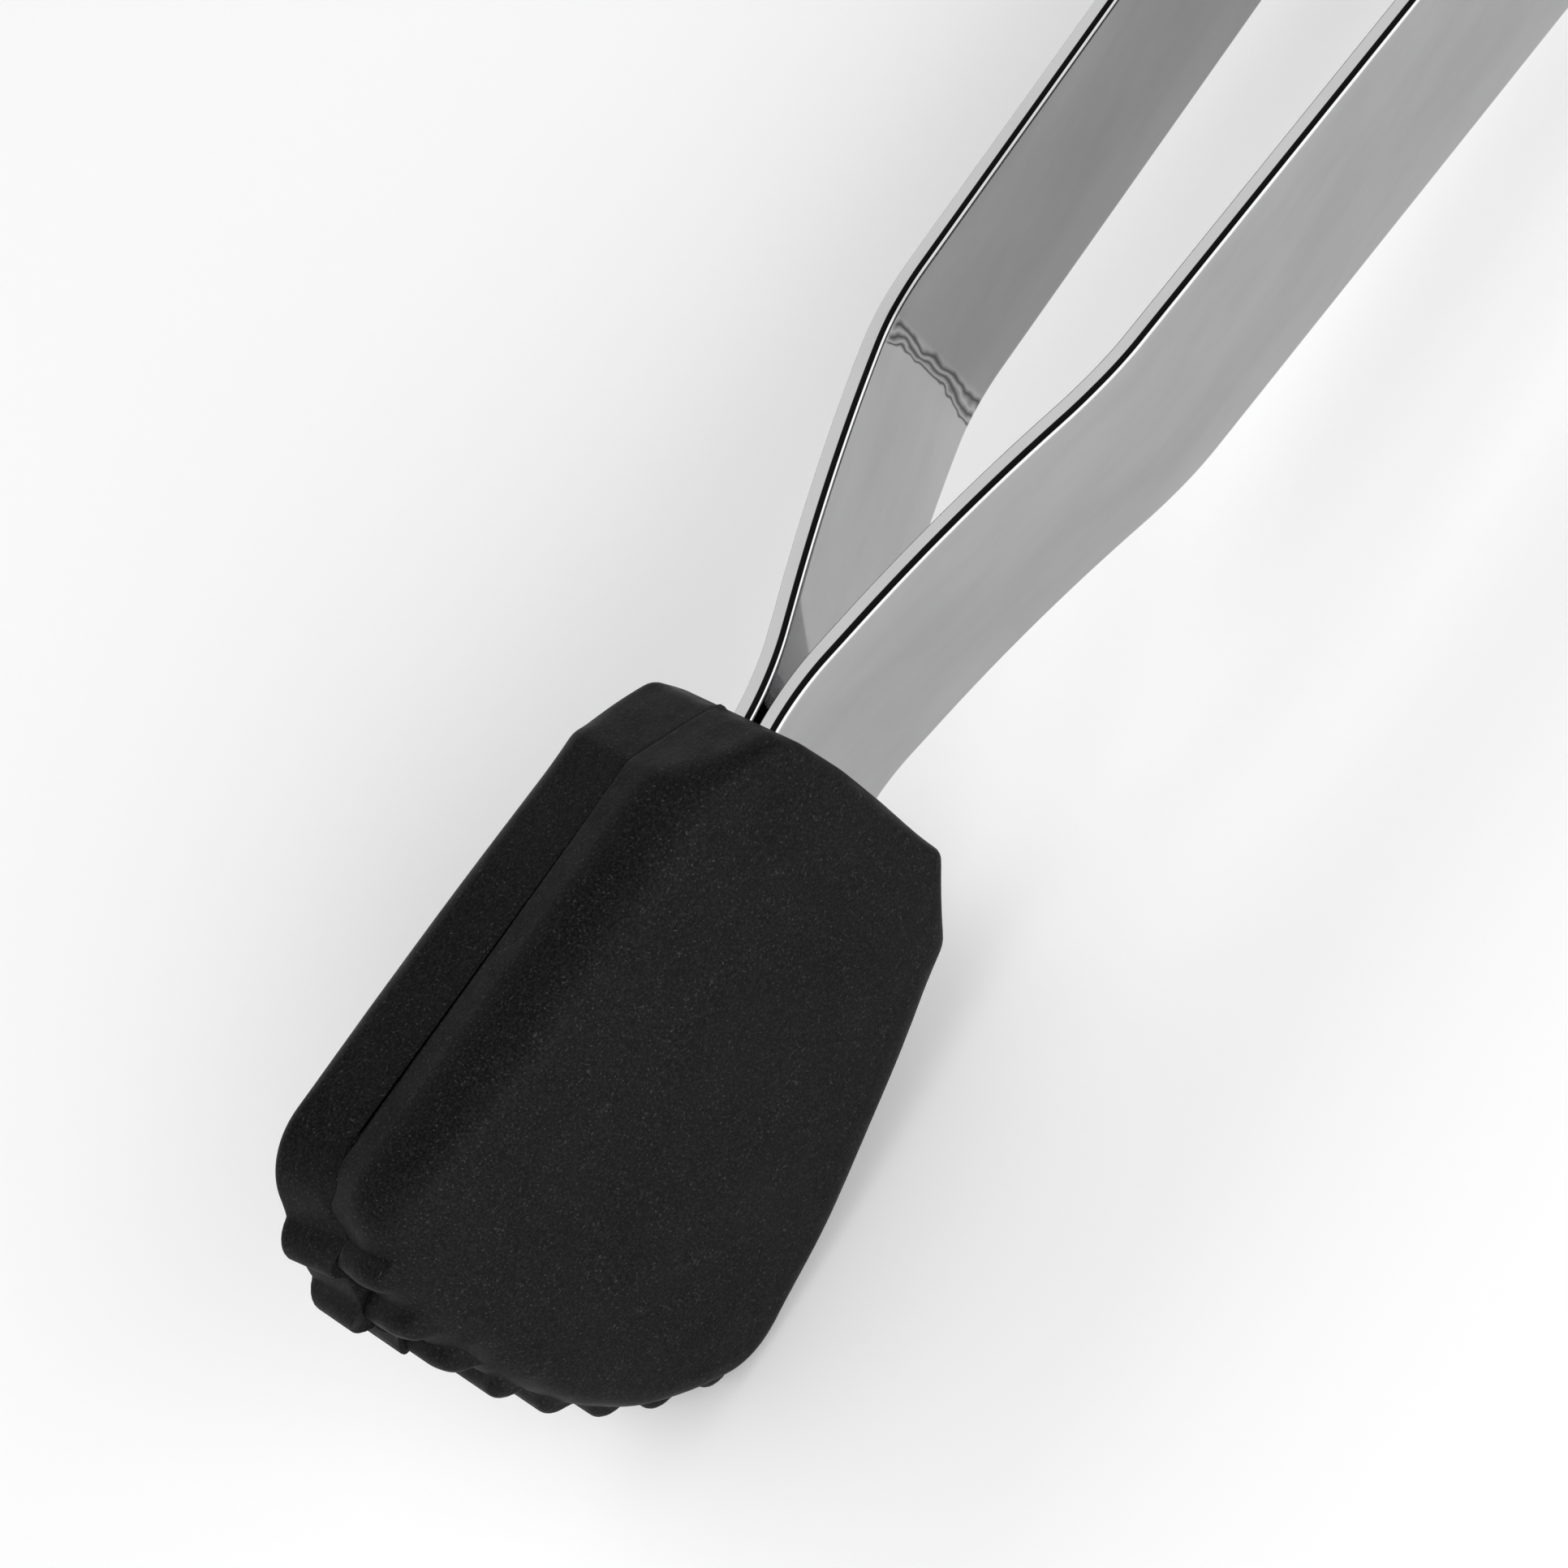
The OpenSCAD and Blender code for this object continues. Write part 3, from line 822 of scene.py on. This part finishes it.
def wire(path, sides=14, r=WIRE_D / 2 - 0.02):
    """A round wire with domed ends along a path."""
    path = [Vector(p) for p in path]
    rings = []
    side = None
    for i, p in enumerate(path):
        ahead = (path[min(i + 1, len(path) - 1)] - path[max(i - 1, 0)]).normalized()
        if side is None:
            side = ahead.orthogonal().normalized()
        side = (side - ahead * side.dot(ahead)).normalized()
        other = ahead.cross(side)
        spots = [(0, r)]
        if i == 0:
            spots = [(-r * math.cos(a), r * math.sin(a)) for a in (0.15, 0.5, 0.9, 1.25)] + spots
        if i == len(path) - 1:
            spots = spots + [(r * math.cos(a), r * math.sin(a)) for a in (1.25, 0.9, 0.5, 0.15)]
        for shift, radius in spots:
            turns = [TAU * k / sides for k in range(sides)]
            rings.append([tuple(p + ahead * shift + radius * (math.cos(t) * side + math.sin(t) * other))
                          for t in turns])
    return skin(rings)


def add_spring():
    """The coil stays on the pin, and each leg turns with its arm."""
    leg_angle = math.radians(15.3)
    leg_len = 25.5
    leg_z = 3.0
    start = math.pi / 2 + leg_angle
    overlap = math.radians(15)
    total = TAU - 2 * start + 4 * TAU
    steps = 320
    coil = []
    for k in range(steps + 1):
        f = k / steps
        a = start + overlap + (total - 2 * overlap) * f
        z = leg_z - 2 * leg_z * (a - start) / total
        coil.append((COIL_R * math.cos(a), COIL_R * math.sin(a), z))
    add_piece("spring_coil", wire(coil), ARM, SPRING, "hinge_core", ["torsion_spring"])
    for side, flip, sign in SIDES:
        bends = [start + overlap * (1.1 - k / 6) for k in range(7)]
        leg = [(COIL_R * math.cos(a), COIL_R * math.sin(a), sign * leg_z) for a in bends]
        root = Vector((COIL_R * math.cos(start), COIL_R * math.sin(start), sign * leg_z))
        way = Vector((math.cos(leg_angle), math.sin(leg_angle), 0))
        leg += [tuple(root + way * leg_len * k / 12) for k in range(13)]
        add_piece(f"{side}_spring_leg", wire(leg), ARM @ flip, SPRING,
                  f"{side}_arm_body", [])


def add_pin():
    head = (3.3, 1.1)
    pin = two_headed(PIN_R, -HEAD_Z, HEAD_Z, head, head)
    add_piece("pin", pin, ARM, RIVET, "hinge_core", ["hinge_pin"])
    for name, z in (("upper", HEAD_Z - WASHER_T), ("lower", -HEAD_Z)):
        washer = tube(PIN_R, WASHER_R, z, z + WASHER_T, 0.15)
        add_piece(f"{name}_washer", washer, ARM, SHEET, "hinge_core", [f"{name}_pin_washer"])
    bush = tube(PIN_R + 0.05, BUSH_R, -BUSH_Z, BUSH_Z, 0.25)
    add_piece("bush", bush, ARM, NYLON, "hinge_core", ["spring_bush"])


def add_rivets():
    web_t = 1.5
    inner = -ARM_T / 2 - web_t
    one = moved(two_headed(RIVET_R, inner, ARM_T / 2, (2.3, 0.7), (2.8, 0.9)), ALONG_Y)
    pair = joined(*[moved(one, Matrix.Translation((x, 0, 0))) for x in WEB_RIVETS_X])
    for side, flip, _ in SIDES:
        matrix = ARM @ flip @ ARM.inverted() @ STRAP_FOOT
        add_piece(f"{side}_web_rivets", pair, matrix, RIVET, f"{side}_arm_body",
                  [f"{side}_bracket_rivets"])


def add_lock():
    half = TAB_T / 2
    head = (2.6, 0.6)
    tab_rivet = moved(two_headed(RIVET_R, -half, half, head, head), ALONG_Y)
    tab_rivet_at = ARM @ Matrix.Translation((LOCK_BACK - 4, 0, 0))
    add_piece("tab_fastener", tab_rivet, tab_rivet_at, RIVET, "lock", ["tab_rivet"])
    round_end = [(1.2, 8.2), (1.05, 8.45), (0.7, 8.57), (0.02, 8.6)]
    bar = lathe([(r, -z) for r, z in reversed(round_end)] + round_end, 32)
    bar_at = ARM @ Matrix.Translation((BAR_X, 0, 0))
    add_piece("cross_bar", bar, bar_at, RIVET, "lock", ["lock_bar"])
    add_piece("hang_tab", tab(), ARM, TAB, "lock", ["pull_tab"])


def tab():
    """A moulded tab with a round end, soft edges and a hole to hang it by."""
    half_w, fillet, soft = 8.0, 1.3, 0.9
    hole = (LOCK_BACK - TAB_LEN + half_w, 0.0)
    count = 192

    def edge(angle, d):
        """Outline point at an angle about the hole, moved in by d."""
        c, s = math.cos(angle), math.sin(angle)
        if c <= 0:
            return hole[0] + (half_w - d) * c, (half_w - d) * s
        reach, power = LOCK_BACK - hole[0] - d, 9
        scale = (abs(c / reach) ** power + abs(s / (half_w - d)) ** power) ** (-1 / power)
        return hole[0] + scale * c, scale * s

    rings = []
    half = TAB_T / 2
    turns = [TAU * k / count for k in range(count)]
    quarter = [math.radians(15 * k) for k in range(7)]
    for a in quarter:
        d, y = fillet * (1 - math.sin(a)), -half + fillet * (1 - math.cos(a))
        rings.append([(x, y, z) for x, z in (edge(t, d) for t in turns)])
    for a in quarter:
        d, y = fillet * (1 - math.cos(a)), half - fillet * (1 - math.sin(a))
        rings.append([(x, y, z) for x, z in (edge(t, d) for t in turns)])
    for a in quarter:
        r, y = HANG_R + soft * (1 - math.sin(a)), half - soft * (1 - math.cos(a))
        rings.append([(hole[0] + r * math.cos(t), y, r * math.sin(t)) for t in turns])
    for a in quarter:
        r, y = HANG_R + soft * (1 - math.cos(a)), -half + soft * (1 - math.sin(a))
        rings.append([(hole[0] + r * math.cos(t), y, r * math.sin(t)) for t in turns])
    points, faces = skin(rings + rings[:1], False, False)
    return merged(points, faces)


def dress_cad_nodes():
    """Sheet pieces keep their CAD mesh, with softened edges and their own material."""
    finishes = {"front_hinge_bracket": SHEET, "rear_hinge_bracket": SHEET, "lock_frame": SHEET,
                "front_jaw_core": CORE, "rear_jaw_core": CORE,
                "front_jaw_rivets": RIVET, "rear_jaw_rivets": RIVET}
    for node, material in finishes.items():
        shown = frame["nodes"][node]
        shown.data.materials.clear()
        shown.data.materials.append(material)
        if material is SHEET:
            bevel = shown.modifiers.new("soft_edges", "BEVEL")
            bevel.width = (0.3 if node == "lock_frame" else 0.4) * MM
            bevel.segments = 3
            bevel.limit_method = "ANGLE"
            bevel.angle_limit = math.radians(40)


add_camera()
add_world()
add_floor()
add_area("top_fill", (0.25, 0.2, 1.5), (0.02, 0, 0), (1.6, 1.6), 12, glossy=False)
add_area("front_fill", (0.25, 1.5, 0.75), (0.1, 0, 0), (1.6, 1.2), 19, glossy=False)
add_straps()
add_jaws()
add_spring()
add_pin()
add_rivets()
add_lock()
dress_cad_nodes()

view = bpy.context.scene.view_settings
view.view_transform = "Standard"
view.look = "None"
